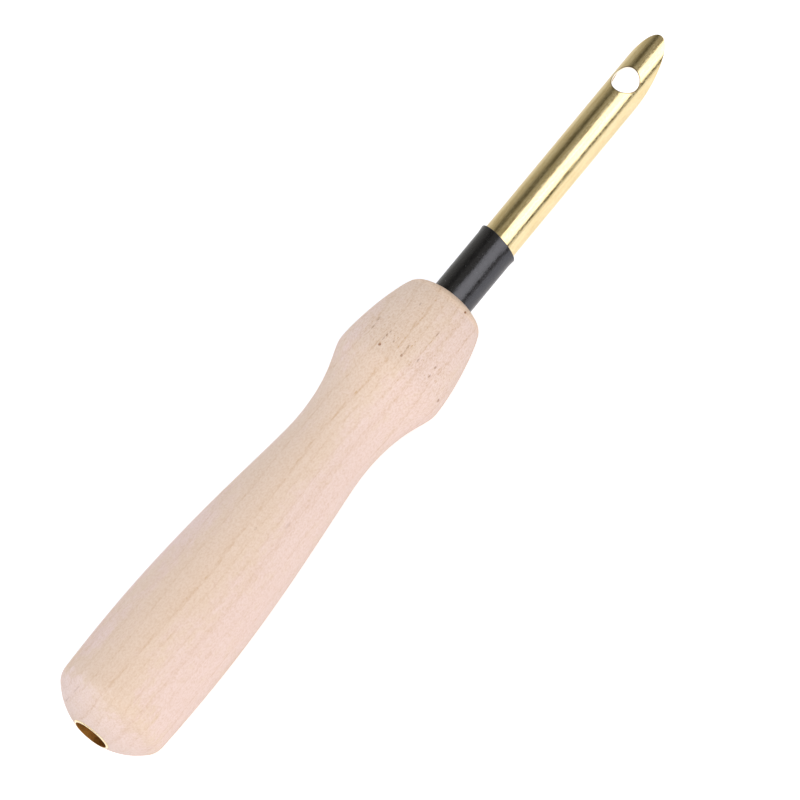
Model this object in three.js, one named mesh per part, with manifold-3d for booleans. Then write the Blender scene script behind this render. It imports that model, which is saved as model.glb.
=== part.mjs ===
// A punch needle: a turned wooden handle, a brass needle tube right through it, and a plastic sleeve
// shrunk on the tube, which packs it into the handle and stops the cloth.
//
// Millimetres, +Z up. The tool lies on its side: its axis is along +X, towards the tip of the needle, and
// the eye faces up. The origin is under the middle of the tool, on the surface that it lies on.

import * as THREE from 'three';
import { mergeVertices } from 'three/addons/utils/BufferGeometryUtils.js';
import Module from 'manifold-3d';

const wasm = await Module();
wasm.setup();

// Handle: where its outline turns, and how thick it is there. It lies on its belly, and the crest of its
// front bulb is nearly as thick.
const handleLength = 70.95;
const bellyRadius = 7.87;
const bellyFromRear = 13;
const waistRadius = 5.42;
const waistToNose = 23.55;
const crestInset = 0.31;
const crestToNose = 12.35;
const rearEdgeInset = 0.15;
const rearEdgeRound = 1;
const rearDomeHeight = 4.05;
const noseEdgeRadius = 5.17;
const noseEdgeRound = 0.7;
const noseDomeHeight = 1.38;
const noseLandWidth = 0.6;
const noseSlope = 24.5;

// Handle: how far each long curve stays level before it bends, as shares of that curve's length.
const bellyFullness = 0.48;
const waistFullness = 0.14;
const coveFullness = 0.63;
const crestFullness = 0.16;
const noseFullness = 0.3;
const noseEndFullness = 0.17;

// Needle tube. Its rear rim is flared and stands a little proud of the wood.
const tubeRadius = 2.5;
const tubeWall = 0.3;
const tubeLength = 114;
const rimProud = 0.1;
const rimFlare = 0.15;
const rimFlareLength = 2.4;
const bevelAngle = 20.3;
const eyeDiameter = 3.5;
const eyeToTip = 7.4;

// Sleeve. Its front end is cut out of square, and is longest on the side cutHighSide, which is an angle
// round the axis from +Y up towards +Z.
const sleeveWall = 0.25;
const sleeveOutside = 9.55;
const sleeveInside = 12;
const cutSkew = 9;
const cutHighSide = 21;
const cutFlare = 0.1;
const cutFlareLength = 1.2;

// Clearances between the pieces, on the radius, and under the end of the sleeve.
const tubeClearance = 0.05;
const sleeveClearance = 0.08;
const rimClearance = 0.1;
const sleeveEndClearance = 0.3;

// Facets.
const sides = 32;
const curveSteps = 9;
const edgeSteps = 4;
const domeSteps = 6;
const eyeSides = 32;

// Sizes and places that follow. x is measured from the rear rim of the tube.
const handleRearX = rimProud;
const noseX = handleRearX + handleLength;
const tipX = tubeLength;
const boreRadius = tubeRadius + tubeClearance;
const rimSeatRadius = tubeRadius + rimFlare + rimClearance;
const sleeveBore = tubeRadius + tubeClearance;
const sleeveRadius = sleeveBore + sleeveWall;
const counterboreRadius = sleeveRadius + sleeveClearance;
const counterboreEndX = noseX - sleeveInside - sleeveEndClearance;
const noseLandRadius = counterboreRadius + noseLandWidth;
const sleeveRearX = noseX - sleeveInside;
const sleeveFrontX = noseX + sleeveOutside;

// A block that cuts one of the pieces reaches this far past its axis.
const cutterReach = 8 * tubeRadius;

const radians = THREE.MathUtils.degToRad;

// Turns a closed outline about the X axis. The outline's points are Vector2(radius, x). The radii are taken
// to the middle of each flat, and a flat faces straight down, so that the tool lies on it.
function turned(outline) {
  const toCorner = 1 / Math.cos(Math.PI / sides);
  const corners = outline.map((point) => new THREE.Vector2(point.x * toCorner, point.y));
  corners.push(corners[0].clone());
  const geometry = new THREE.LatheGeometry(corners, sides, Math.PI / sides);
  geometry.rotateZ(-Math.PI / 2);
  return geometry;
}

function toSolid(geometry) {
  const bare = geometry.clone();
  bare.deleteAttribute('normal');
  bare.deleteAttribute('uv');
  const merged = mergeVertices(bare);
  const mesh = new wasm.Mesh({
    numProp: 3,
    vertProperties: new Float32Array(merged.attributes.position.array),
    triVerts: new Uint32Array(merged.index.array),
  });
  return new wasm.Manifold(mesh);
}

function toGeometry(solid) {
  const mesh = solid.getMesh();
  const geometry = new THREE.BufferGeometry();
  geometry.setAttribute('position', new THREE.BufferAttribute(mesh.vertProperties, 3));
  geometry.setIndex(new THREE.BufferAttribute(mesh.triVerts, 1));
  geometry.computeVertexNormals();
  return geometry;
}

function finish(name, geometry, color, roughness, metalness) {
  const material = new THREE.MeshStandardMaterial({ color, roughness, metalness });
  const mesh = new THREE.Mesh(geometry, material);
  mesh.name = name;
  return mesh;
}

// How far a dome about the axis falls between its land and a radius. It is an arc whose top is on the axis,
// as high over its edge as domeHeight.
function domeDrop(radius, landRadius, edgeRadius, domeHeight) {
  const arcRadius = (edgeRadius ** 2 + domeHeight ** 2) / (2 * domeHeight);
  return Math.sqrt(arcRadius ** 2 - landRadius ** 2) - Math.sqrt(arcRadius ** 2 - radius ** 2);
}

// Points of a dome from one radius to another, where xAt gives its x at a radius.
function domePoints(fromRadius, toRadius, xAt) {
  const points = [];
  for (let step = 0; step <= domeSteps; step += 1) {
    const radius = THREE.MathUtils.lerp(fromRadius, toRadius, step / domeSteps);
    points.push(new THREE.Vector2(radius, xAt(radius)));
  }
  return points;
}

// Points along a path of curves, without its first and last, which the neighbouring stretches hold.
function innerPoints(path) {
  const points = [];
  for (const curve of path.curves) {
    const steps = curve instanceof THREE.CubicBezierCurve ? curveSteps : edgeSteps;
    points.push(...curve.getPoints(steps).slice(1));
  }
  return points.slice(0, -1);
}

function handleOutline() {
  const rearEdgeRadius = bellyRadius - rearEdgeInset;
  const crestRadius = bellyRadius - crestInset;
  const rearDomeX = (radius) => (
    handleRearX + domeDrop(radius, rimSeatRadius, rearEdgeRadius, rearDomeHeight)
  );
  const noseDomeX = (radius) => (
    noseX - domeDrop(radius, noseLandRadius, noseEdgeRadius, noseDomeHeight)
  );
  const rearDomeEnd = rearEdgeRadius - rearEdgeRound / 2;
  const noseDomeEnd = noseEdgeRadius - noseEdgeRound;

  // Places of the turns along the outline, and the stretches between them.
  const rearEdgeX = rearDomeX(rearEdgeRadius);
  const bellyX = handleRearX + bellyFromRear;
  const waistX = noseX - waistToNose;
  const crestX = noseX - crestToNose;
  const noseEdgeX = noseDomeX(noseEdgeRadius);
  const taper = waistX - bellyX;
  const cove = crestX - waistX;
  const nose = noseEdgeX - crestX;
  const slope = Math.tan(radians(noseSlope));
  const noseEndX = noseEdgeX - noseEdgeRound;
  const noseEndRadius = noseEdgeRadius + noseEdgeRound * slope;

  const side = new THREE.Path();
  side.moveTo(rearDomeEnd, rearDomeX(rearDomeEnd));
  side.quadraticCurveTo(rearEdgeRadius, rearEdgeX, rearEdgeRadius, rearEdgeX + rearEdgeRound);
  side.quadraticCurveTo(bellyRadius, (rearEdgeX + bellyX) / 2, bellyRadius, bellyX);
  side.bezierCurveTo(
    bellyRadius, bellyX + bellyFullness * taper,
    waistRadius, waistX - waistFullness * taper,
    waistRadius, waistX,
  );
  side.bezierCurveTo(
    waistRadius, waistX + coveFullness * cove,
    crestRadius, crestX - crestFullness * cove,
    crestRadius, crestX,
  );
  side.bezierCurveTo(
    crestRadius, crestX + noseFullness * nose,
    noseEndRadius + noseEndFullness * nose * slope, noseEndX - noseEndFullness * nose,
    noseEndRadius, noseEndX,
  );
  side.quadraticCurveTo(noseEdgeRadius, noseEdgeX, noseDomeEnd, noseDomeX(noseDomeEnd));

  return [
    ...domePoints(rimSeatRadius, rearDomeEnd, rearDomeX),
    ...innerPoints(side),
    ...domePoints(noseDomeEnd, noseLandRadius, noseDomeX),
    new THREE.Vector2(counterboreRadius, noseX),
    new THREE.Vector2(counterboreRadius, counterboreEndX),
    new THREE.Vector2(boreRadius, counterboreEndX),
    new THREE.Vector2(boreRadius, handleRearX + rimFlareLength),
  ];
}

function handle() {
  return finish('handle', turned(handleOutline()), 0xe8d0bc, 0.75, 0);
}

function needleTube() {
  const innerRadius = tubeRadius - tubeWall;
  const outline = [
    new THREE.Vector2(innerRadius + rimFlare, 0),
    new THREE.Vector2(tubeRadius + rimFlare, 0),
    new THREE.Vector2(tubeRadius, rimFlareLength),
    new THREE.Vector2(tubeRadius, tipX),
    new THREE.Vector2(innerRadius, tipX),
    new THREE.Vector2(innerRadius, rimFlareLength),
  ];

  // The slanted cut: everything below a plane that rises to the tip at the top of the tube.
  const slantLength = (2 * tubeRadius) / Math.sin(radians(bevelAngle));
  const slant = new THREE.BoxGeometry(2 * slantLength + cutterReach, cutterReach, cutterReach);
  slant.translate(0, 0, -cutterReach / 2);
  slant.rotateY(-radians(bevelAngle));
  slant.translate(tipX, 0, tubeRadius);

  // The eye goes through the long wall only, from the middle of the tube upwards.
  const eyeHeight = 2 * tubeRadius;
  const eye = new THREE.CylinderGeometry(eyeDiameter / 2, eyeDiameter / 2, eyeHeight, eyeSides);
  eye.rotateX(Math.PI / 2);
  eye.translate(tipX - eyeToTip, 0, eyeHeight / 2);

  const tube = toSolid(turned(outline)).subtract(toSolid(slant)).subtract(toSolid(eye));
  return finish('needle_tube', toGeometry(tube), 0xcaa75a, 0.2, 1);
}

function sleeve() {
  // The blank reaches past the highest point of the skewed cut, and its flare starts behind the cut.
  const rise = (sleeveRadius + cutFlare) * Math.tan(radians(cutSkew));
  const flareX = sleeveFrontX - cutFlareLength;
  const blankX = sleeveFrontX + 2 * rise;
  const grown = (cutFlare * (blankX - flareX)) / cutFlareLength;
  const outline = [
    new THREE.Vector2(sleeveBore, sleeveRearX),
    new THREE.Vector2(sleeveRadius, sleeveRearX),
    new THREE.Vector2(sleeveRadius, flareX),
    new THREE.Vector2(sleeveRadius + grown, blankX),
    new THREE.Vector2(sleeveBore + grown, blankX),
    new THREE.Vector2(sleeveBore, flareX),
  ];

  const cut = new THREE.BoxGeometry(cutterReach, cutterReach, cutterReach);
  cut.translate(cutterReach / 2, 0, 0);
  cut.rotateZ(-radians(cutSkew));
  cut.rotateX(radians(cutHighSide));
  cut.translate(sleeveFrontX, 0, 0);

  const tubing = toSolid(turned(outline)).subtract(toSolid(cut));
  return finish('sleeve', toGeometry(tubing), 0x1d1d20, 0.5, 0);
}

const group = new THREE.Group();
group.add(handle(), needleTube(), sleeve());
group.position.set(-tubeLength / 2, 0, bellyRadius);

export default group;
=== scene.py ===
"""A punch needle lying on a white table: a turned wooden handle, a polished brass needle tube right through
it, and a black plastic sleeve shrunk on the tube.

Everything is in metres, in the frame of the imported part: the tool's axis is along +X, towards the tip, and
the eye faces +Z. Angles round the axis are measured from +Z towards +Y.
"""

import math

import bmesh
import bpy
import numpy as np
from mathutils import Matrix, Vector


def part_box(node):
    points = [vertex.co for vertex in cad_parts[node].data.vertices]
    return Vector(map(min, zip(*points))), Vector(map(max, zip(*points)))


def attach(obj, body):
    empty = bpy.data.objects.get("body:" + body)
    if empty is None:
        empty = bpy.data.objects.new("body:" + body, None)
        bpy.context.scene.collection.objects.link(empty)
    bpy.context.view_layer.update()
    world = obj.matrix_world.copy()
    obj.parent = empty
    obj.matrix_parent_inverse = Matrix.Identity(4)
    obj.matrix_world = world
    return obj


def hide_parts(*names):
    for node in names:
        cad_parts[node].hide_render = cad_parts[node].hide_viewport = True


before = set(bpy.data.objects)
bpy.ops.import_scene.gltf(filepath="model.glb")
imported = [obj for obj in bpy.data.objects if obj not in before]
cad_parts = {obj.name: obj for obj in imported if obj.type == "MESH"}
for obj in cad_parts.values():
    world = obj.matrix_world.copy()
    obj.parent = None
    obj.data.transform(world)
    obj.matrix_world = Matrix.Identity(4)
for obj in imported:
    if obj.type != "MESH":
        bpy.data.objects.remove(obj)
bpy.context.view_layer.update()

MM = 0.001

# Sizes that the frame gives.
HANDLE_LOW, HANDLE_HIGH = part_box("handle")
TUBE_LOW, TUBE_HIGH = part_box("needle_tube")
SLEEVE_LOW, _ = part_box("sleeve")
BELLY_RADIUS = (HANDLE_HIGH.y - HANDLE_LOW.y) / 2
AXIS_HEIGHT = (HANDLE_HIGH.z + HANDLE_LOW.z) / 2
HANDLE_REAR_X = HANDLE_LOW.x
NOSE_X = HANDLE_HIGH.x
RIM_X = TUBE_LOW.x
TIP_X = TUBE_HIGH.x
RIM_RADIUS = (TUBE_HIGH.y - TUBE_LOW.y) / 2
SLEEVE_REAR_X = SLEEVE_LOW.x

# Handle outline, as in the part's source.
BELLY_FROM_REAR = 13 * MM
WAIST_RADIUS = 5.42 * MM
WAIST_TO_NOSE = 23.55 * MM
CREST_RADIUS = BELLY_RADIUS - 0.31 * MM
CREST_TO_NOSE = 12.35 * MM
REAR_EDGE_RADIUS = BELLY_RADIUS - 0.15 * MM
REAR_EDGE_ROUND = 1.0 * MM
REAR_DOME_HEIGHT = 4.05 * MM
NOSE_EDGE_RADIUS = 5.17 * MM
NOSE_EDGE_ROUND = 0.7 * MM
NOSE_DOME_HEIGHT = 1.38 * MM
NOSE_LAND_WIDTH = 0.6 * MM
NOSE_SLOPE = math.tan(math.radians(24.5))
BELLY_FULLNESS, WAIST_FULLNESS = 0.48, 0.14
COVE_FULLNESS, CREST_FULLNESS = 0.63, 0.16
NOSE_FULLNESS, NOSE_END_FULLNESS = 0.3, 0.17
HOLE_CHAMFER = 0.12 * MM

# How many points each stretch of the handle's outline has.
REAR_DOME_STEPS, REAR_EDGE_STEPS, BELLY_STEPS, TAPER_STEPS = 25, 8, 14, 48
COVE_STEPS, NOSE_STEPS, NOSE_EDGE_STEPS, NOSE_DOME_STEPS = 40, 28, 6, 12
HANDLE_COLUMNS = 256

# Tube and sleeve, as in the part's source. In the scene both flares are curved, and the wood closes up to
# the rim to within the fit.
RIM_FLARE = 0.15 * MM
RIM_FLARE_LENGTH = 2.4 * MM
RIM_FLARE_CURVE = 1.5
TUBE_RADIUS = RIM_RADIUS - RIM_FLARE
TUBE_WALL = 0.3 * MM
BEVEL = math.radians(20.3)
EYE_RADIUS = 1.75 * MM
EYE_X = TIP_X - 7.4 * MM
TUBE_CLEARANCE = 0.05 * MM
SLEEVE_CLEARANCE = 0.08 * MM
RIM_CLEARANCE = 0.1 * MM
FIT = 0.01 * MM
SLEEVE_WALL = 0.25 * MM
SLEEVE_OUTSIDE = 9.55 * MM
SLEEVE_END_CLEARANCE = 0.3 * MM
CUT_SKEW = math.radians(9)
CUT_HIGH_SIDE = math.radians(21)
CUT_FLARE = 0.1 * MM
CUT_FLARE_LENGTH = 1.2 * MM
CUT_FLARE_CURVE = 1.7

SLEEVE_BORE = TUBE_RADIUS + TUBE_CLEARANCE
SLEEVE_RADIUS = SLEEVE_BORE + SLEEVE_WALL
COUNTERBORE_RADIUS = SLEEVE_RADIUS + SLEEVE_CLEARANCE

SHARP_ANGLE = math.radians(40)


def bezier(points, steps):
    """Points of the Bezier curve with these control points, without its first end."""
    control = np.array(points, float)
    degree = len(control) - 1
    shares = np.linspace(0, 1, steps + 1)[1:, None]
    total = 0
    for index, point in enumerate(control):
        weight = math.comb(degree, index) * shares**index * (1 - shares) ** (degree - index)
        total = total + weight * point
    return [tuple(point) for point in total]


def grid_mesh(columns):
    """Vertices in columns round the axis, without faces. Each column is a closed outline of (radius, x), and
    all have as many points. Returns the bmesh and its vertices by column and row."""
    bm = bmesh.new()
    grid = []
    for index, column in enumerate(columns):
        angle = 2 * math.pi * index / len(columns)
        along_y, along_z = math.sin(angle), math.cos(angle)
        ring = [bm.verts.new((x, radius * along_y, AXIS_HEIGHT + radius * along_z)) for radius, x in column]
        grid.append(ring)
    return bm, grid


def join_grid(bm, grid, left_out=frozenset()):
    """Quads between neighbouring columns and rows, apart from the (column, row) cells left out."""
    count, rows = len(grid), len(grid[0])
    for i in range(count):
        here, there = grid[i], grid[(i + 1) % count]
        for k in range(rows):
            if (i, k) not in left_out:
                after = (k + 1) % rows
                bm.faces.new((here[k], here[after], there[after], there[k]))


def join_rings(bm, rings):
    """Quads between neighbouring closed rings of as many vertices each."""
    for one, two in zip(rings, rings[1:]):
        for index in range(len(one)):
            after = (index + 1) % len(one)
            bm.faces.new((one[index], one[after], two[after], two[index]))


def add_object(name, data):
    made = bpy.data.objects.new(name, data)
    bpy.context.scene.collection.objects.link(made)
    return made


def add_piece(name, bm, node, material):
    """Makes the piece an object that stands for its CAD node and rides on the part's only body."""
    loose = [vert for vert in bm.verts if not vert.link_faces]
    bmesh.ops.delete(bm, geom=loose, context="VERTS")
    bmesh.ops.recalc_face_normals(bm, faces=bm.faces)
    mesh = bpy.data.meshes.new(name)
    bm.to_mesh(mesh)
    bm.free()
    mesh.polygons.foreach_set("use_smooth", [True] * len(mesh.polygons))
    mesh.set_sharp_from_angle(angle=SHARP_ANGLE)
    mesh.materials.append(material)
    piece = add_object(name, mesh)
    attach(piece, "root")
    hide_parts(node)


def dome_drop(radius, land_radius, edge_radius, height):
    """How far a dome falls between its land and a radius, as in the part's source."""
    arc = (edge_radius**2 + height**2) / (2 * height)
    return math.sqrt(arc**2 - land_radius**2) - math.sqrt(arc**2 - radius**2)


def handle_outline():
    """The turned outline of the handle and its bore, as (radius, x)."""
    seat_radius = RIM_RADIUS + RIM_CLEARANCE
    land_radius = COUNTERBORE_RADIUS + NOSE_LAND_WIDTH
    bore_radius = TUBE_RADIUS + TUBE_CLEARANCE
    counterbore_end = SLEEVE_REAR_X - SLEEVE_END_CLEARANCE

    def rear_x(radius):
        """The rear dome, which is level inside the rim's seat."""
        drop = dome_drop(radius, seat_radius, REAR_EDGE_RADIUS, REAR_DOME_HEIGHT)
        return HANDLE_REAR_X + max(drop, 0)

    def nose_x(radius):
        return NOSE_X - dome_drop(radius, land_radius, NOSE_EDGE_RADIUS, NOSE_DOME_HEIGHT)

    rear_end = REAR_EDGE_RADIUS - REAR_EDGE_ROUND / 2
    nose_end = NOSE_EDGE_RADIUS - NOSE_EDGE_ROUND
    rear_edge_x = rear_x(REAR_EDGE_RADIUS)
    nose_edge_x = nose_x(NOSE_EDGE_RADIUS)
    belly_x = HANDLE_REAR_X + BELLY_FROM_REAR
    waist_x = NOSE_X - WAIST_TO_NOSE
    crest_x = NOSE_X - CREST_TO_NOSE
    taper, cove, nose = waist_x - belly_x, crest_x - waist_x, nose_edge_x - crest_x
    nose_end_x = nose_edge_x - NOSE_EDGE_ROUND
    nose_end_radius = NOSE_EDGE_RADIUS + NOSE_EDGE_ROUND * NOSE_SLOPE

    dome_radii = np.linspace(RIM_RADIUS + FIT, rear_end, REAR_DOME_STEPS)
    outline = [(radius, rear_x(radius)) for radius in dome_radii]
    side_start = (REAR_EDGE_RADIUS, rear_edge_x + REAR_EDGE_ROUND)
    outline += bezier([outline[-1], (REAR_EDGE_RADIUS, rear_edge_x), side_start], REAR_EDGE_STEPS)
    belly = (BELLY_RADIUS, belly_x)
    belly_start = (BELLY_RADIUS, (rear_edge_x + belly_x) / 2)
    outline += bezier([side_start, belly_start, belly], BELLY_STEPS)
    waist = (WAIST_RADIUS, waist_x)
    taper_start = (BELLY_RADIUS, belly_x + BELLY_FULLNESS * taper)
    taper_end = (WAIST_RADIUS, waist_x - WAIST_FULLNESS * taper)
    outline += bezier([belly, taper_start, taper_end, waist], TAPER_STEPS)
    crest = (CREST_RADIUS, crest_x)
    cove_start = (WAIST_RADIUS, waist_x + COVE_FULLNESS * cove)
    cove_end = (CREST_RADIUS, crest_x - CREST_FULLNESS * cove)
    outline += bezier([waist, cove_start, cove_end, crest], COVE_STEPS)
    nose_side_end = (nose_end_radius, nose_end_x)
    nose_start = (CREST_RADIUS, crest_x + NOSE_FULLNESS * nose)
    last_reach = NOSE_END_FULLNESS * nose
    nose_last = (nose_end_radius + last_reach * NOSE_SLOPE, nose_end_x - last_reach)
    outline += bezier([crest, nose_start, nose_last, nose_side_end], NOSE_STEPS)
    nose_corner = (NOSE_EDGE_RADIUS, nose_edge_x)
    outline += bezier([nose_side_end, nose_corner, (nose_end, nose_x(nose_end))], NOSE_EDGE_STEPS)
    dome_radii = np.linspace(nose_end, land_radius, NOSE_DOME_STEPS)[1:]
    outline += [(radius, nose_x(radius)) for radius in dome_radii]
    outline += [
        (COUNTERBORE_RADIUS + HOLE_CHAMFER, NOSE_X),
        (COUNTERBORE_RADIUS, NOSE_X - HOLE_CHAMFER),
        (COUNTERBORE_RADIUS, counterbore_end),
        (bore_radius, counterbore_end),
        (bore_radius, HANDLE_REAR_X + RIM_FLARE_LENGTH),
    ]
    return outline


def build_handle(material):
    bm, grid = grid_mesh([handle_outline()] * HANDLE_COLUMNS)
    join_grid(bm, grid)
    add_piece("turned_handle", bm, "handle", material)


# How the sleeve's mesh is laid out, and the rounding of its edges.
SLEEVE_COLUMNS = 192
SLEEVE_BODY_SHARES = np.linspace(0.2, 0.95, 12)
SLEEVE_FLARE_SHARES = np.linspace(0, 1, 9)
SLEEVE_EDGE = 0.025 * MM


def build_sleeve(material):
    """The tubing, with a flare behind its skewed cut and a softened edge on both ends."""
    edge = SLEEVE_EDGE
    front_x = NOSE_X + SLEEVE_OUTSIDE
    columns = []
    for index in range(SLEEVE_COLUMNS):
        angle = 2 * math.pi * index / SLEEVE_COLUMNS
        lean = math.tan(CUT_SKEW) * math.sin(angle + CUT_HIGH_SIDE)

        def flared(radius):
            """Points along a wall from the start of the flare to the cut."""
            end_x = front_x + (radius + CUT_FLARE) * lean - edge
            start_x = front_x + radius * lean - CUT_FLARE_LENGTH
            points = []
            for share in SLEEVE_FLARE_SHARES:
                flare = CUT_FLARE * share**CUT_FLARE_CURVE
                points.append((radius + flare, start_x + (end_x - start_x) * share))
            return points

        outer, inner = flared(SLEEVE_RADIUS), flared(SLEEVE_BORE)
        outer_end, inner_end = outer[-1], inner[-1]
        column = [(SLEEVE_RADIUS - edge, SLEEVE_REAR_X), (SLEEVE_RADIUS, SLEEVE_REAR_X + edge)]
        for share in SLEEVE_BODY_SHARES:
            column.append((SLEEVE_RADIUS, SLEEVE_REAR_X + share * (outer[0][1] - SLEEVE_REAR_X)))
        column += outer
        corner = (outer_end[0], outer_end[1] + edge)
        column += bezier([outer_end, corner, (outer_end[0] - edge, corner[1] - edge * lean)], 4)
        corner = (inner_end[0], inner_end[1] + edge)
        first = (inner_end[0] + edge, corner[1] + edge * lean)
        column += [first] + bezier([first, corner, inner_end], 4)
        column += inner[-2::-1]
        column.append((SLEEVE_BORE, SLEEVE_REAR_X))
        columns.append(column)
    bm, grid = grid_mesh(columns)
    join_grid(bm, grid)
    add_piece("black_sleeve", bm, "sleeve", material)


# How the tube's mesh is laid out, and the rounding of its edges. The columns and rows round the eye are
# counted from the top of the tube and from where the slanted stretch starts.
TUBE_COLUMNS = 256
TUBE_BODY_ROWS = 24
RIM_FLARE_SHARES = np.linspace(0.1, 1, 7)
BODY_START_X = RIM_X + RIM_FLARE_LENGTH + 1 * MM
BEVEL_ROWS = 64
BEVEL_START_X = TIP_X - 15 * MM
EYE_COLUMNS = 47
EYE_FIRST_ROW = 23
EYE_LAST_ROW = 48
EYE_RINGS = 10
RIM_EDGE = 0.1 * MM
TIP_EDGE = 0.16 * MM
EYE_EDGE = 0.05 * MM


def cut_x(radius, angle):
    """Where the slanted cut crosses a wall."""
    return TIP_X - (TUBE_RADIUS - radius * math.cos(angle)) / math.tan(BEVEL)


def tube_column(angle):
    """The closed outline of the tube's wall at an angle, with the rows where its two slanted stretches
    start."""
    inner_radius = TUBE_RADIUS - TUBE_WALL
    rim_inner = inner_radius + RIM_FLARE
    body = np.linspace(BODY_START_X, BEVEL_START_X, TUBE_BODY_ROWS)[:-1]
    shares = np.linspace(0, 1, BEVEL_ROWS + 1)

    def flared(radius, share):
        """A wall at a share of the flare's length from the rim."""
        return (radius + RIM_FLARE * (1 - share) ** RIM_FLARE_CURVE, RIM_X + share * RIM_FLARE_LENGTH)

    column = [(rim_inner, RIM_X), (RIM_RADIUS - RIM_EDGE, RIM_X), (RIM_RADIUS, RIM_X + RIM_EDGE)]
    column += [flared(TUBE_RADIUS, share) for share in RIM_FLARE_SHARES]
    column += [(TUBE_RADIUS, x) for x in body]

    outer_corner = (TUBE_RADIUS, cut_x(TUBE_RADIUS, angle))
    inner_corner = (inner_radius, cut_x(inner_radius, angle))
    outer_end_x = outer_corner[1] - TIP_EDGE
    inner_end_x = inner_corner[1] - TIP_EDGE
    outer_start = len(column)
    column += [(TUBE_RADIUS, BEVEL_START_X + share * (outer_end_x - BEVEL_START_X)) for share in shares]

    def on_cut(share):
        """A point on the cut face, from the outer corner to the inner one."""
        return tuple(a + share * (b - a) for a, b in zip(outer_corner, inner_corner))

    column += bezier([column[-1], outer_corner, on_cut(0.3)], 5)
    column += [on_cut(0.5)]
    inner_end = (inner_radius, inner_end_x)
    column += [on_cut(0.75)] + bezier([on_cut(0.75), inner_corner, inner_end], 5)
    inner_start = len(column) - 1
    column += [
        (inner_radius, BEVEL_START_X + share * (inner_end_x - BEVEL_START_X)) for share in shares[-2::-1]
    ]
    column += [(inner_radius, x) for x in body[::-1]]
    column += [flared(inner_radius, share) for share in RIM_FLARE_SHARES[::-1]]
    return column, outer_start, inner_start


def build_tube(material):
    columns = []
    for index in range(TUBE_COLUMNS):
        column, outer_start, inner_start = tube_column(2 * math.pi * index / TUBE_COLUMNS)
        columns.append(column)
    bm, grid = grid_mesh(columns)

    # The cells round the eye are left out of both walls, and ring-shaped patches take their place.
    half = EYE_COLUMNS
    first_row, last_row = EYE_FIRST_ROW, EYE_LAST_ROW
    walls = (
        (TUBE_RADIUS, [outer_start + row for row in range(BEVEL_ROWS + 1)]),
        (TUBE_RADIUS - TUBE_WALL, [inner_start + BEVEL_ROWS - row for row in range(BEVEL_ROWS + 1)]),
    )
    left_out = set()
    for _, rows in walls:
        for i in range(-half, half):
            for row in range(first_row, last_row):
                left_out.add((i % TUBE_COLUMNS, min(rows[row], rows[row + 1])))
    join_grid(bm, grid, left_out)

    edges = []
    directions = None
    for radius, rows in walls:
        loop = [(i, first_row) for i in range(-half, half)]
        loop += [(half, row) for row in range(first_row, last_row)]
        loop += [(i, last_row) for i in range(half, -half, -1)]
        loop += [(-half, row) for row in range(last_row, first_row, -1)]
        outside = [grid[i % TUBE_COLUMNS][rows[row]] for i, row in loop]
        spots = []
        for vert in outside:
            angle = math.atan2(vert.co.y, vert.co.z - AXIS_HEIGHT)
            spots.append((angle * radius, vert.co.x - EYE_X))
        if directions is None:
            directions = [math.atan2(across, along) for across, along in spots]
        rings = [outside]
        for ring in range(1, EYE_RINGS + 1):
            share = ring / EYE_RINGS
            verts = []
            for direction, (across, along) in zip(directions, spots):
                eye_y = (EYE_RADIUS + EYE_EDGE) * math.sin(direction)
                eye_across = radius * math.asin(eye_y / radius)
                eye_along = (EYE_RADIUS + EYE_EDGE) * math.cos(direction)
                angle = (across + share * (eye_across - across)) / radius
                x = EYE_X + along + share * (eye_along - along)
                place = (x, radius * math.sin(angle), AXIS_HEIGHT + radius * math.cos(angle))
                verts.append(bm.verts.new(place))
            rings.append(verts)
        join_rings(bm, rings)
        edges.append(rings[-1])

    # The drilled wall of the eye, rounded into both surfaces.
    def wall_point(radius, plan_radius, direction, drop):
        y = plan_radius * math.sin(direction)
        z = AXIS_HEIGHT + math.sqrt(radius**2 - y**2) - drop
        return (EYE_X + plan_radius * math.cos(direction), y, z)

    def rounding(radius, direction, into):
        points = [
            wall_point(radius, EYE_RADIUS + EYE_EDGE, direction, 0),
            wall_point(radius, EYE_RADIUS, direction, 0),
            wall_point(radius, EYE_RADIUS, direction, into * EYE_EDGE),
        ]
        return bezier(points, 4)

    outer = [rounding(TUBE_RADIUS, direction, 1) for direction in directions]
    inner = [rounding(TUBE_RADIUS - TUBE_WALL, direction, -1) for direction in directions]
    rings = [edges[0]]
    for step in range(4):
        rings.append([bm.verts.new(points[step]) for points in outer])
    for step in range(3, -1, -1):
        rings.append([bm.verts.new(points[step]) for points in inner])
    rings.append(edges[1])
    join_rings(bm, rings)
    add_piece("brass_tube", bm, "needle_tube", material)


def new_material(name):
    material = bpy.data.materials.new(name)
    material.use_nodes = True
    return material, material.node_tree, material.node_tree.nodes["Principled BSDF"]


def node(tree, kind, inputs, **settings):
    """Adds a node. An input's value is a number, a colour or vector, or the output that feeds it."""
    made = tree.nodes.new("ShaderNode" + kind)
    for name, value in settings.items():
        setattr(made, name, value)
    for key, value in inputs.items():
        if isinstance(value, bpy.types.NodeSocket):
            tree.links.new(value, made.inputs[key])
        else:
            made.inputs[key].default_value = value
    return made


def calculate(tree, operation, *values):
    return node(tree, "Math", dict(enumerate(values)), operation=operation).outputs[0]


def times(tree, one, two):
    return calculate(tree, "MULTIPLY", one, two)


def plus(tree, total, value, weight):
    """The total, with a value times its weight on top."""
    return calculate(tree, "MULTIPLY_ADD", value, weight, total)


def stretch(tree, vector, scale):
    return node(tree, "VectorMath", {0: vector, 1: scale}, operation="MULTIPLY").outputs["Vector"]


def noise(tree, vector, scale, detail=2.0, roughness=0.5):
    """Noise that is as fine as the scale says along each axis."""
    vector = stretch(tree, vector, scale)
    inputs = {"Vector": vector, "Scale": 1.0, "Detail": detail, "Roughness": roughness}
    return node(tree, "TexNoise", inputs).outputs["Fac"]


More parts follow.
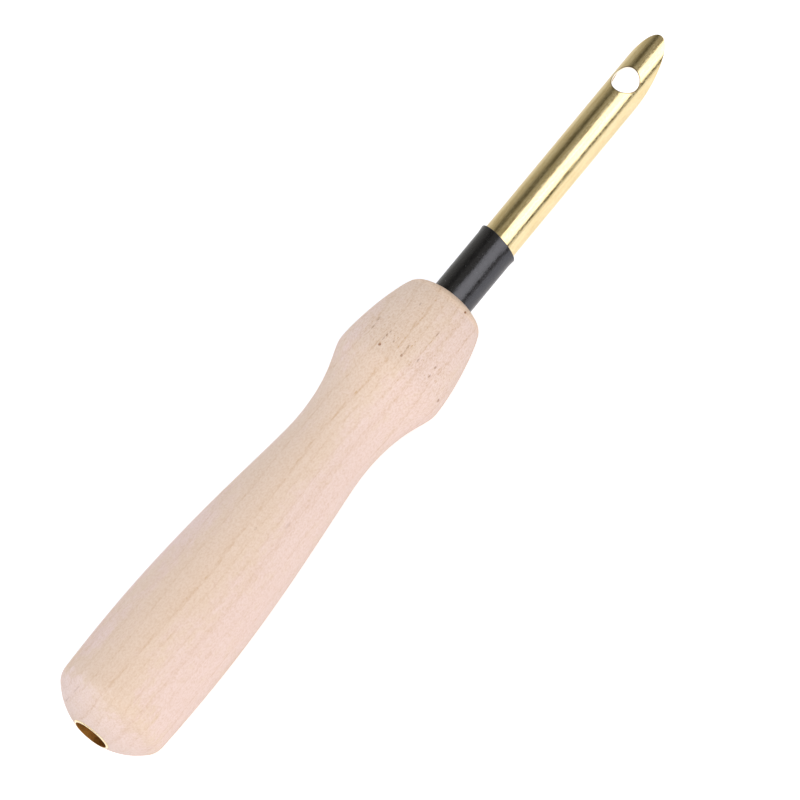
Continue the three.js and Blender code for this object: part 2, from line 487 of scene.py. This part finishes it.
def ramp(tree, value, low, high, to_low=0.0, to_high=1.0):
    """The value eased from one range to another, and held at both ends."""
    inputs = {"Value": value, "From Min": low, "From Max": high, "To Min": to_low, "To Max": to_high}
    return node(tree, "MapRange", inputs, interpolation_type="SMOOTHSTEP").outputs["Result"]


def band(tree, value, rise, fall):
    """1 between two edges and 0 beyond them, eased over the two ranges of the value."""
    return times(tree, ramp(tree, value, *rise), ramp(tree, value, *fall, 1.0, 0.0))


def blend(tree, share, one, two):
    """A colour mixed from two by a share."""
    made = node(tree, "Mix", {"Factor": share}, data_type="RGBA")
    for socket, value in ((made.inputs[6], one), (made.inputs[7], two)):
        if isinstance(value, bpy.types.NodeSocket):
            tree.links.new(value, socket)
        else:
            socket.default_value = (*value, 1)
    return made.outputs[2]


def finish_surface(tree, shader, color, rough, height, strength, distance):
    """Feeds the shader its colour, its roughness and a bump, whose distance is in millimetres."""
    inputs = {"Height": height, "Strength": strength, "Distance": distance * MM}
    normal = node(tree, "Bump", inputs).outputs["Normal"]
    for name, value in (("Base Color", color), ("Roughness", rough), ("Normal", normal)):
        tree.links.new(value, shader.inputs[name])


# The wood's grain. It is worked out in millimetres from the tool's axis: x along it, y across the picture
# and z away from the camera. The growth rings bend round a pith well outside the handle.
GRAIN_TURN = math.radians(159)
PITH = (0, -45, -10)
RING_WIDTH = 1.75
WOOD_TAN = (0.803, 0.628, 0.492)
WOOD_PINK = (0.835, 0.653, 0.58)
WOOD_LINE = (0.56, 0.32, 0.13)
WOOD_END = (0.92, 0.755, 0.68)
WOOD_SPECK = (0.3, 0.12, 0.04)
# Painted light: the paler front of the handle, and the highlight round the nose's edge.
WOOD_FRONT_PAINTED_LIGHT = (0.95, 0.84, 0.75)
WOOD_NOSE_EDGE_HIGHLIGHT = (1.0, 0.78, 0.6)

# Dark specks: along the axis, across it, how long and how wide, in millimetres, and how dark.
SPECKS = (
    (2.35, -3.3, 0.23, 0.19, 1.0), (2.85, -0.35, 0.28, 0.17, 0.75), (4.2, -0.4, 0.5, 0.11, 0.5),
    (3.4, -0.33, 0.6, 0.09, 0.35), (2.4, 6.65, 0.3, 0.14, 0.7), (12.9, 2.3, 0.25, 0.16, 1.0),
    (4.0, -5.3, 0.4, 0.1, 0.5), (5.2, -5.4, 0.5, 0.1, 0.45), (3.3, -3.4, 0.35, 0.1, 0.45),
    (3.9, -3.35, 0.25, 0.13, 0.6), (4.5, -3.25, 0.25, 0.11, 0.5), (3.7, -2.2, 0.2, 0.12, 0.55),
    (3.75, 1.6, 0.3, 0.11, 0.65), (3.35, 3.9, 0.3, 0.12, 0.6), (4.7, 3.8, 0.25, 0.14, 0.7),
    (8.0, 1.4, 0.45, 0.1, 0.55), (9.8, -2.6, 0.3, 0.1, 0.45), (-22.5, 2.2, 0.6, 0.2, 0.2),
    (-25.5, -0.6, 0.3, 0.16, 0.2), (-54.6, -4.9, 0.5, 0.1, 0.25), (-55.8, -5.0, 0.3, 0.1, 0.3),
)


def wood_material():
    material, tree, shader = new_material("bare_wood")
    place = node(tree, "TexCoord", {}).outputs["Object"]
    axis_height = AXIS_HEIGHT / MM
    shift = (0, axis_height * math.sin(GRAIN_TURN), -axis_height * math.cos(GRAIN_TURN))
    inputs = {"Vector": place, "Location": shift, "Rotation": (GRAIN_TURN, 0, 0), "Scale": [1 / MM] * 3}
    grain = node(tree, "Mapping", inputs).outputs["Vector"]
    parts = node(tree, "SeparateXYZ", {0: grain}).outputs
    along, aside, depth = parts["X"], parts["Y"], parts["Z"]

    # Growth rings: a thin dark line at the end of each, more or less strong, broken along its length.
    flat = stretch(tree, grain, (0, 1, 1))
    reach = node(tree, "VectorMath", {0: flat, 1: PITH}, operation="DISTANCE").outputs["Value"]
    wander = noise(tree, grain, (0.035, 0.16, 0.16))
    reach = plus(tree, reach, wander, 2.4)
    jitter = noise(tree, grain, (0.45, 1.2, 1.2), detail=4.0, roughness=0.6)
    reach = plus(tree, reach, jitter, 0.3)
    inputs = {"W": reach, "Scale": 0.5, "Detail": 1.0}
    uneven = node(tree, "TexNoise", inputs, noise_dimensions="1D").outputs["Fac"]
    count = plus(tree, calculate(tree, "DIVIDE", reach, RING_WIDTH), uneven, 1.0)
    through = calculate(tree, "FRACT", count)
    shade = band(tree, through, (0.35, 0.9), (0.93, 1.0))
    line = band(tree, through, (0.81, 0.9), (0.92, 0.99))
    which = node(tree, "TexWhiteNoise", {"W": calculate(tree, "FLOOR", count)}, noise_dimensions="1D")
    strong = ramp(tree, which.outputs["Value"], 0.0, 1.0, 0.4, 1.0)
    broken = ramp(tree, noise(tree, grain, (0.45, 2.8, 2.8), detail=3.0), 0.42, 0.62, 0.05, 1.0)
    line = times(tree, line, times(tree, strong, broken))

    # Fibres and pores: fine streaks all over, and short dark ones that crowd at the front of the handle.
    fibre = noise(tree, grain, (0.4, 5.5, 5.5), detail=3.0)
    pores = ramp(tree, noise(tree, grain, (1.0, 7.5, 7.5), detail=1.0), 0.56, 0.7)
    crowd = times(tree, ramp(tree, along, -8.0, 9.0, 0.4, 1.0), ramp(tree, through, 0.6, 0.9, 0.35, 1.0))
    pores = times(tree, pores, crowd)

    # Broad patches with blotches in them. The tan along the middle of the side in view and the pink towards
    # its edges are painted sheen.
    patches = noise(tree, grain, (0.09, 0.3, 0.3), detail=3.0)
    blotches = noise(tree, grain, (0.6, 1.2, 1.2), detail=3.0, roughness=0.6)
    blotchy = calculate(tree, "SUBTRACT", blotches, 0.5)
    tone = plus(tree, patches, blotchy, 0.8)
    sheen_off_middle = calculate(tree, "ABSOLUTE", calculate(tree, "ADD", aside, 2.5))
    tone = calculate(tree, "ADD", tone, ramp(tree, sheen_off_middle, 0.0, 7.5, -0.32, 0.25))

    # The rear end: a tan band round it, with a ragged and slanting edge, and paler wood behind the band.
    from_rear = calculate(tree, "SUBTRACT", along, HANDLE_REAR_X / MM)
    from_rear = calculate(tree, "ADD", from_rear, ramp(tree, aside, -4.0, 3.0, 0.0, 1.8))
    from_rear = plus(tree, from_rear, blotchy, 7.0)
    tone = plus(tree, tone, band(tree, from_rear, (2.6, 4.4), (5.0, 9.0)), -0.3)
    end = ramp(tree, from_rear, 2.2, 4.6, 1.0, 0.0)
    tone = plus(tree, tone, end, 0.35)
    color = blend(tree, ramp(tree, tone, 0.25, 0.75), WOOD_TAN, WOOD_PINK)
    color = blend(tree, times(tree, end, 0.5), color, WOOD_END)

    # Painted light: towards the front the wood is a little paler, and a painted highlight runs round the edge
    # of the nose.
    front_painted_light = ramp(tree, along, -36.0, -24.0, 0.0, 0.06)
    front_painted_light = calculate(tree, "ADD", front_painted_light, ramp(tree, along, 0.5, 3.5, 0.0, 0.1))
    color = blend(tree, front_painted_light, color, WOOD_FRONT_PAINTED_LIGHT)
    color = blend(tree, ramp(tree, along, 12.2, 13.2, 0.0, 0.75), color, WOOD_NOSE_EDGE_HIGHLIGHT)

    # What darkens the wood, each with its weight. The front bulb shows short open pores all round where it
    # is thickest, and the turned edge of the nose is burnished a little.
    mottle = noise(tree, grain, (3.2, 4.5, 4.5), detail=3.0, roughness=0.65)
    dashes = ramp(tree, noise(tree, grain, (2.2, 6.5, 6.5), detail=1.0), 0.62, 0.7)
    burnish = band(tree, along, (13.1, 13.25), (13.35, 13.5))
    darkening = (
        (line, ramp(tree, along, -25.0, 2.0, 0.21, 0.31)),
        (shade, 0.05),
        (ramp(tree, mottle, 0.35, 0.75), ramp(tree, along, -8.0, 4.0, 0.3, 0.39)),
        (ramp(tree, fibre, 0.35, 0.7), 0.05),
        (pores, 0.26),
        (times(tree, dashes, band(tree, along, (1.0, 3.0), (5.0, 7.5))), 0.4),
        (times(tree, burnish, ramp(tree, blotches, 0.45, 0.6)), 0.12),
    )
    dark = 0.0
    for layer, weight in darkening:
        dark = plus(tree, dark, layer, weight)
    color = blend(tree, dark, color, WOOD_LINE)

    # Each speck is a small crumbled spot on the side that faces the camera, which is where they were found.
    stain = 0.0
    for x, y, length, width, darkness in SPECKS:
        inputs = {0: stretch(tree, grain, (1 / length, 1 / width, 0)), 1: (x / length, y / width, 0)}
        apart = node(tree, "VectorMath", inputs, operation="DISTANCE").outputs["Value"]
        stain = calculate(tree, "MAXIMUM", ramp(tree, apart, 0.5, 1.2, darkness, 0.0), stain)
    facing = ramp(tree, depth, -1.0, 0.0, 1.0, 0.0)
    crumbs = ramp(tree, noise(tree, grain, (5.0, 7.0, 7.0)), 0.4, 0.6, 0.65, 1.0)
    color = blend(tree, times(tree, stain, times(tree, facing, crumbs)), color, WOOD_SPECK)

    shader.inputs["Specular IOR Level"].default_value = 0.3
    rough = ramp(tree, fibre, 0.3, 0.7, 0.62, 0.74)
    height = plus(tree, times(tree, fibre, 0.5), mottle, 0.6)
    height = plus(tree, height, pores, -1.0)
    height = plus(tree, height, line, -0.6)
    finish_surface(tree, shader, color, rough, height, 0.35, 0.02)
    return material


BRASS_DARK = (0.8, 0.625, 0.325)
BRASS_LIGHT = (0.96, 0.8, 0.485)
# Painted light round the eye: a dark ring of painted shade, and a painted highlight on the cut edge.
BRASS_PAINTED_DARK_RING = (0.2, 0.12, 0.05)
BRASS_PAINTED_GLINT = (0.98, 0.92, 0.8)
# Inside the tube: darker towards the rear as painted shade down the bore, with the brass's own stains.
BORE_REAR_PAINTED_SHADE = (0.44, 0.2, 0.042)
BORE_FRONT = (0.8, 0.6, 0.3)
BORE_STAIN = (0.12, 0.06, 0.02)
BORE_ROUGHNESS = 0.62


def brass_material():
    """Polished brass with fine lengthwise drawing lines, duller inside the tube, where its colour is darkened
    as painted shade.
    """
    material, tree, shader = new_material("polished_brass")
    place = node(tree, "TexCoord", {}).outputs["Object"]
    inputs = {"Vector": place, "Location": (0, 0, -AXIS_HEIGHT / MM), "Scale": [1 / MM] * 3}
    place = node(tree, "Mapping", inputs).outputs["Vector"]

    # The inside is what faces the axis, but for the drilled wall of the eye.
    outwards = node(tree, "VectorMath", {0: stretch(tree, place, (0, 1, 1))}, operation="NORMALIZE")
    inputs = {0: node(tree, "TexCoord", {}).outputs["Normal"], 1: outwards.outputs["Vector"]}
    facing = node(tree, "VectorMath", inputs, operation="DOT_PRODUCT").outputs["Value"]
    inputs = {0: stretch(tree, place, (1, 1, 0)), 1: (EYE_X / MM, 0, 0)}
    from_eye = node(tree, "VectorMath", inputs, operation="DISTANCE").outputs["Value"]
    from_eye = calculate(tree, "SUBTRACT", from_eye, EYE_RADIUS / MM)
    outside = ramp(tree, facing, -0.985, -0.955)
    outside = calculate(tree, "MAXIMUM", outside, ramp(tree, from_eye, 0.05, 0.15, 1.0, 0.0))

    streaks = noise(tree, place, (0.12, 7.0, 7.0), detail=4.0, roughness=0.6)
    smears = noise(tree, place, (0.3, 1.2, 1.2), detail=3.0)
    grainy = noise(tree, place, (4.0, 6.0, 6.0), detail=2.0, roughness=0.6)
    shade = plus(tree, times(tree, streaks, 0.35), smears, 0.3)
    shade = plus(tree, shade, grainy, 0.35)
    color = blend(tree, ramp(tree, shade, 0.36, 0.64), BRASS_DARK, BRASS_LIGHT)

    # The cut edge of the eye gets a painted highlight, and round it a painted dark ring stands in for shade
    # and dark reflections.
    painted_dark_ring = band(tree, from_eye, (0.004, 0.02), (0.07, 0.15))
    color = blend(tree, times(tree, painted_dark_ring, 0.8), color, BRASS_PAINTED_DARK_RING)
    color = blend(tree, ramp(tree, from_eye, 0.001, 0.004, 0.8, 0.0), color, BRASS_PAINTED_GLINT)

    along = node(tree, "SeparateXYZ", {0: place}).outputs["X"]
    # Painted shade: the inside darkens towards the rear, where little light gets down the bore.
    inside = blend(tree, ramp(tree, along, -40.0, 30.0), BORE_REAR_PAINTED_SHADE, BORE_FRONT)
    inside = blend(tree, ramp(tree, grainy, 0.35, 0.65, 0.0, 0.4), inside, BORE_STAIN)
    color = blend(tree, outside, inside, color)

    shader.inputs["Metallic"].default_value = 1.0
    polish = plus(tree, times(tree, smears, 0.35), grainy, 0.65)
    polish = ramp(tree, polish, 0.42, 0.6, 0.08, 0.25)
    inputs = {"Factor": outside, 2: BORE_ROUGHNESS, 3: polish}
    rough = node(tree, "Mix", inputs, data_type="FLOAT").outputs[0]
    dents = noise(tree, place, (0.3, 2.0, 2.0))
    pits = noise(tree, place, (1.6, 2.6, 2.6), detail=3.0, roughness=0.6)
    height = plus(tree, streaks, dents, 1.3)
    height = plus(tree, height, pits, 1.3)
    finish_surface(tree, shader, color, rough, height, 0.6, 0.012)
    return material


TUBING_BLACK = (0.002, 0.002, 0.003)
TUBING_DUST = (0.5, 0.48, 0.46)
TUBING_TINT = (0.94, 0.93, 1.0, 1)


def sleeve_material():
    """Satin black heat-shrink tubing, faintly uneven, with a little dust on it."""
    material, tree, shader = new_material("black_tubing")
    place = node(tree, "TexCoord", {}).outputs["Object"]
    place = stretch(tree, place, [1 / MM] * 3)

    # Dust lies at the middle of the cells of a ragged pattern, and only in some places.
    ragged = node(tree, "TexNoise", {"Vector": place, "Scale": 5.0, "Detail": 2.0}).outputs["Color"]
    inputs = {0: ragged, 1: (0.35, 0.35, 0.35), 2: place}
    bent = node(tree, "VectorMath", inputs, operation="MULTIPLY_ADD").outputs["Vector"]
    cells = {"Vector": bent, "Scale": 1.3, "Randomness": 1.0}
    nearest = node(tree, "TexVoronoi", cells).outputs["Distance"]
    here = ramp(tree, noise(tree, place, (0.9, 1.3, 1.3)), 0.44, 0.64)
    dust = times(tree, ramp(tree, nearest, 0.02, 0.12, 0.4, 0.0), here)
    color = blend(tree, dust, TUBING_BLACK, TUBING_DUST)

    shader.inputs["Specular IOR Level"].default_value = 0.95
    shader.inputs["Specular Tint"].default_value = TUBING_TINT
    uneven = noise(tree, place, (0.5, 1.1, 1.1), detail=4.0)
    fine = noise(tree, place, (2.0, 2.6, 2.6), detail=4.0, roughness=0.65)
    rough = ramp(tree, fine, 0.35, 0.65, 0.15, 0.28)
    height = plus(tree, times(tree, uneven, 2.0), fine, 3.0)
    finish_surface(tree, shader, color, rough, height, 0.4, 0.022)
    return material


# The photograph's view. The tool's rear end leans towards the camera, and the camera is on the side that
# -Y faces, so that the eye shows a little turned.
VIEW_TILT = math.radians(14)
VIEW_ROLL = math.radians(21)
AXIS_SLANT = math.radians(50.38)
LENS = 540
SENSOR = 36
PICTURE = 800
PIXELS_PER_METRE = 8117.7
AIM_X = 0.26 * MM
AIM_ACROSS = 2.99 * MM
CLIP_START, CLIP_END = 0.01, 100

# Light. The tent shows in reflections only. Its levels are given by the angle round the tool, in degrees
# from the camera's side, and the mat's by the distance from the tool's axis, in millimetres. Each lamp has
# an angle round the tool, a lean towards its rear end, both in degrees, a size, the light that it throws
# on a white card facing it, and a colour. The table glows to sight, and a little less in reflections.
WORLD_LIGHT = 0.52
FLOOR_GLOW = 0.45
FLOOR_GLOW_MIRRORED = -0.1
FLOOR_TONE = 0.86
FLOOR_HALF_SIZE = 6.0
TENT_DISTANCE = 0.5
TENT_LENGTH = 1.3
TENT = (
    (-110, 0.52), (-101, 0.46), (-89, 0.38), (-74, 0.18), (-62, 0.1), (-54, 0.17), (-47, 0.3), (-35, 0.38),
    (-25, 0.31), (-18, 0.33), (-11, 1.6), (-6, 1.9), (14, 2.2), (43, 1.9), (46, 1.5), (50, 0.3), (54, 0.12),
    (60, 0.12), (66, 0.8),
)
DARK_TINT = (1.0, 0.95, 0.74)
MAT = ((3, 1.0), (12, 0.82), (26, 0.76), (80, 0.58), (500, 0.52))
MAT_X = 15 * MM
MAT_HEIGHT = 0.05 * MM
LAMP_DISTANCE = 0.7
LAMPS = (
    ("left_lamp", -63, 8, 0.6, 0.4, (0.875, 0.96, 1.19)),
    ("upper_lamp", 23, 6, 0.5, 0.355, (1.06, 0.99, 0.93)),
    ("right_lamp", 57, 2, 0.4, 0.213, (0.96, 1.02, 1.28)),
)


def view_axes():
    """Directions in the part's frame: the picture's right and up, the way back to the camera, and, in the
    picture's plane, along the tool and across it."""
    level = math.cos(VIEW_TILT)
    back = Vector((-math.sin(VIEW_TILT), -math.sin(VIEW_ROLL) * level, math.cos(VIEW_ROLL) * level))
    along = (Vector((1, 0, 0)) - back.x * back).normalized()
    across = along.cross(back)
    right = math.cos(AXIS_SLANT) * along + math.sin(AXIS_SLANT) * across
    up = math.sin(AXIS_SLANT) * along - math.cos(AXIS_SLANT) * across
    return right, up, back, along, across


def add_camera():
    right, up, back, _, across = view_axes()
    camera = bpy.data.cameras.new("camera")
    camera.lens = LENS
    camera.sensor_width = SENSOR
    camera.clip_start = CLIP_START
    camera.clip_end = CLIP_END
    holder = add_object("camera", camera)
    distance = LENS / SENSOR * PICTURE / PIXELS_PER_METRE
    aim = Vector((AIM_X, 0, AXIS_HEIGHT)) + AIM_ACROSS * across
    turn = Matrix((right, up, back)).transposed().to_4x4()
    holder.matrix_world = Matrix.Translation(aim + distance * back) @ turn
    bpy.context.scene.camera = holder


def white_to_sight(tree):
    """1 for the rays that see the backdrop straight, in a reflection or through glass, and 0 for the rest."""
    rays = node(tree, "LightPath", {}).outputs
    seen = calculate(tree, "MAXIMUM", rays["Is Camera Ray"], rays["Is Glossy Ray"])
    return calculate(tree, "MAXIMUM", seen, rays["Is Transmission Ray"])


def add_floor():
    """A white table that shows the tool's shadow faintly."""
    size = FLOOR_HALF_SIZE
    mesh = bpy.data.meshes.new("table")
    corners = [(-size, -size, 0), (size, -size, 0), (size, size, 0), (-size, size, 0)]
    mesh.from_pydata(corners, [], [(0, 1, 2, 3)])
    floor = add_object("table", mesh)
    material, tree, shader = new_material("white_table")
    shader.inputs["Base Color"].default_value = (FLOOR_TONE, FLOOR_TONE, FLOOR_TONE, 1)
    shader.inputs["Roughness"].default_value = 1.0
    shader.inputs["Specular IOR Level"].default_value = 0.0
    shader.inputs["Emission Color"].default_value = (1, 1, 1, 1)
    glow = times(tree, white_to_sight(tree), FLOOR_GLOW)
    mirrored = node(tree, "LightPath", {}).outputs["Is Glossy Ray"]
    glow = plus(tree, glow, mirrored, FLOOR_GLOW_MIRRORED)
    tree.links.new(glow, shader.inputs["Emission Strength"])
    mesh.materials.append(material)


def add_tent():
    """A curved studio tent over the tool: a soft light behind the camera, and darker cloth beside it, which
    the brass shows as bands. Its left end runs on along the table up to the tool, as a grey mat."""
    _, _, back, along, across = view_axes()
    centre = Vector((0, 0, AXIS_HEIGHT))
    rows = []
    for distance, level in MAT:
        spot = Vector((MAT_X, distance * MM, MAT_HEIGHT))
        rows.append([(spot, level), (spot + Vector((TENT_LENGTH / 2, 0, 0)), level)])
    for angle in range(TENT[0][0], TENT[-1][0] + 1):
        turned = math.radians(angle)
        spot = centre + TENT_DISTANCE * (math.cos(turned) * back + math.sin(turned) * across)
        level = np.interp(angle, *zip(*TENT))
        rows.append([(spot + reach * along, level) for reach in (-TENT_LENGTH / 2, TENT_LENGTH / 2)])
    verts, faces, colors = [], [], []
    for row in rows:
        for spot, level in row:
            verts.append(spot)
            colors += [level * (part + (1 - part) * min(level, 1)) for part in DARK_TINT] + [1.0]
    for index in range(0, len(verts) - 2, 2):
        faces.append((index, index + 1, index + 3, index + 2))
    mesh = bpy.data.meshes.new("tent")
    mesh.from_pydata(verts, [], faces)
    mesh.attributes.new("light", "FLOAT_COLOR", "POINT").data.foreach_set("color", colors)
    material = bpy.data.materials.new("lit_cloth")
    material.use_nodes = True
    tree = material.node_tree
    tree.nodes.remove(tree.nodes["Principled BSDF"])
    light = node(tree, "Attribute", {}, attribute_name="light").outputs["Color"]
    glow = node(tree, "Emission", {"Color": light})
    tree.links.new(glow.outputs[0], tree.nodes["Material Output"].inputs["Surface"])
    mesh.materials.append(material)
    tent = add_object("tent", mesh)
    tent.visible_camera = False
    tent.visible_diffuse = False
    tent.visible_shadow = False


def add_lamps():
    _, _, back, along, across = view_axes()
    for name, angle, lean, size, share, color in LAMPS:
        turned, leant = math.radians(angle), math.radians(lean)
        away = math.cos(turned) * back + math.sin(turned) * across
        away = math.cos(leant) * away - math.sin(leant) * along
        lamp = bpy.data.lights.new(name, "AREA")
        lamp.shape = "DISK"
        lamp.size = size
        lamp.color = color
        lamp.energy = share * math.pi**2 * LAMP_DISTANCE**2
        holder = add_object(name, lamp)
        place = Vector((0, 0, AXIS_HEIGHT)) + LAMP_DISTANCE * away
        holder.matrix_world = Matrix.Translation(place) @ away.to_track_quat("Z", "Y").to_matrix().to_4x4()
        holder.visible_glossy = False
        holder.visible_camera = False


def add_world():
    world = bpy.data.worlds.new("studio")
    bpy.context.scene.world = world
    world.use_nodes = True
    tree = world.node_tree
    background = tree.nodes["Background"]
    background.inputs["Color"].default_value = (1, 1, 1, 1)
    inputs = {"Value": white_to_sight(tree), "To Min": WORLD_LIGHT, "To Max": 1.0}
    strength = node(tree, "MapRange", inputs).outputs["Result"]
    tree.links.new(strength, background.inputs["Strength"])


build_handle(wood_material())
build_tube(brass_material())
build_sleeve(sleeve_material())
add_floor()
add_tent()
add_lamps()
add_world()
add_camera()

scene = bpy.context.scene
scene.view_settings.view_transform = "Standard"
